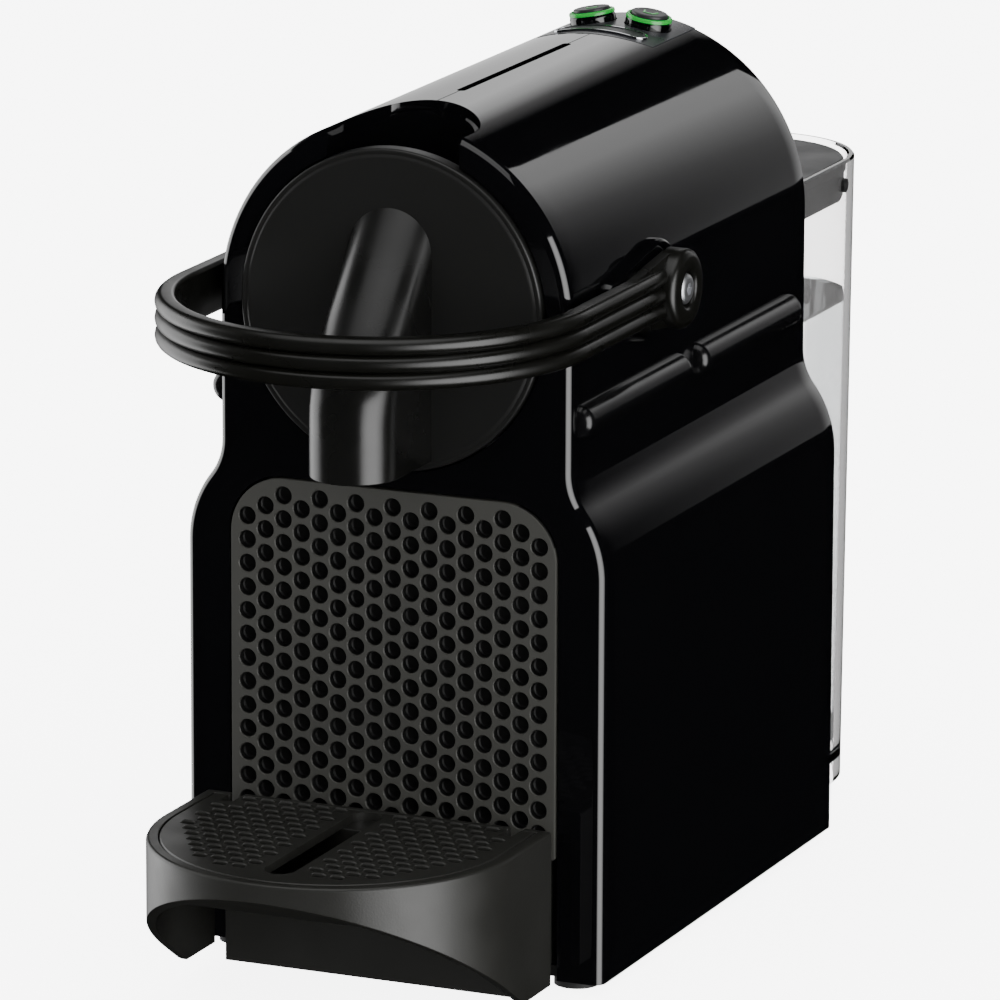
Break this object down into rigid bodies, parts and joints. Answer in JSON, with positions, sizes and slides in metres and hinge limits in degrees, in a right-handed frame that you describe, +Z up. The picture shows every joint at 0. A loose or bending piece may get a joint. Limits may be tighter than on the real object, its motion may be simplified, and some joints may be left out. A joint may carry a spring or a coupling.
{
  "type": "pod coffee machine",
  "caption": "Compact pod coffee machine with glossy covers, a lifting bail lever, a rear water tank and a pull-out capsule and drip unit.",
  "frame": {"origin": "middle of the whole machine's footprint box, at the height of the surface it stands on", "axes": "+X to the right seen from behind the machine's front, -Y out of the front, +Z up; the barrel of the body lies along Y"},
  "size_m": [0.12, 0.3185, 0.2299],
  "materials": {
    "cover": "glossy",
    "satin_black": "satin",
    "lever_black": "fine satin",
    "panel_grey": "fine satin",
    "honeycomb": "satin",
    "tray_black": "satin",
    "button_cap": "satin",
    "light_ring": "lit translucent green",
    "tank_clear": "clear moulded plastic",
    "lid_grey": "satin",
    "steel": "bright",
    "brass": "turned",
    "rubber": "matt",
    "seal": "matt",
    "inner_plastic": "moulded",
    "cast_alloy": "cast",
    "hose": "translucent soft tube",
    "pump_body": "moulded",
    "white_plastic": "moulded",
    "board": "lacquered",
    "chrome_badge": "bright"
  },
  "bodies": {
    "machine": {"base_plate": "satin_black", "rubber_feet": "rubber", "left_side_cover": "cover", "right_side_cover": "cover", "brewing_head_disc": "satin_black", "coffee_outlet_hood": "satin_black", "outlet_nozzle": "satin_black", "capsule_chute": "satin_black", "lever_stops": "steel", "control_panel": "panel_grey", "name_badge": "chrome_badge", "espresso_light_ring": "light_ring", "espresso_spring": "steel", "lungo_light_ring": "light_ring", "lungo_spring": "steel", "chassis": "inner_plastic", "brewing_frame": "inner_plastic", "extraction_plate": "steel", "guide_rods": "steel", "lever_bushes": "brass", "pump": "pump_body", "pump_mounts": "rubber", "heater": "cast_alloy", "flow_meter": "white_plastic", "circuit_board": "board", "suction_hose": "hose", "feed_hose": "hose", "pressure_hose": "hose", "brewing_hose": "hose", "rear_panel": "satin_black", "panel_screws": "steel", "cable_gland": "rubber", "tank_dock": "inner_plastic", "dock_seal": "seal"},
    "lever": {"lever_bail": "lever_black", "lever_shafts": "steel", "lever_cranks": "cast_alloy", "lever_screws": "steel"},
    "cage": {"capsule_cage": "inner_plastic"},
    "espresso_key": {"espresso_button": "button_cap"},
    "lungo_key": {"lungo_button": "button_cap"},
    "tank": {"water_tank": "tank_clear", "valve_spring": "steel"},
    "lid": {"tank_lid": "lid_grey"},
    "valve": {"tank_valve": "white_plastic"},
    "drip_unit": {"drip_base": "tray_black", "capsule_container": "tray_black", "honeycomb_front": "honeycomb"},
    "tray": {"drip_tray": "tray_black", "drip_grid": "tray_black"}
  },
  "joints": [
    {"name": "lever_lift", "type": "hinge", "parent": "machine", "child": "lever", "pos_m": [0, -0.02175, 0.1765], "axis": [-1, 0, 0], "range_deg": [0, 100]},
    {"name": "cage_slide", "type": "slide", "parent": "machine", "child": "cage", "axis": [0, 1, 0], "range_m": [0, 0.0212]},
    {"name": "espresso_press", "type": "slide", "parent": "machine", "child": "espresso_key", "axis": [0.1616, 0, -0.9869], "range_m": [0, 0.0015], "stiffness_N_per_m": 600, "springref_m": -0.002, "deforming": ["espresso_spring"]},
    {"name": "lungo_press", "type": "slide", "parent": "machine", "child": "lungo_key", "axis": [-0.1616, 0, -0.9869], "range_m": [0, 0.0015], "stiffness_N_per_m": 600, "springref_m": -0.002, "deforming": ["lungo_spring"]},
    {"name": "tank_lift", "type": "slide", "parent": "machine", "child": "tank", "axis": [0, 0, 1], "range_m": [0, 0.12]},
    {"name": "lid_turn", "type": "hinge", "parent": "tank", "child": "lid", "pos_m": [0, 0.12925, 0.174], "axis": [-1, 0, 0], "range_deg": [0, 80]},
    {"name": "valve_lift", "type": "slide", "parent": "tank", "child": "valve", "axis": [0, 0, 1], "range_m": [0, 0.002], "stiffness_N_per_m": 150, "springref_m": -0.004, "deforming": ["valve_spring"]},
    {"name": "drip_unit_pull", "type": "slide", "parent": "machine", "child": "drip_unit", "axis": [0, -1, 0], "range_m": [0, 0.095]},
    {"name": "tray_fold", "type": "hinge", "parent": "drip_unit", "child": "tray", "pos_m": [0, -0.08995, 0.0405], "axis": [-1, 0, 0], "range_deg": [0, 90]}
  ],
  "couplings": [
    {"joint": "cage_slide", "follows": "lever_lift", "m_per_rad": 0.012103}
  ]
}
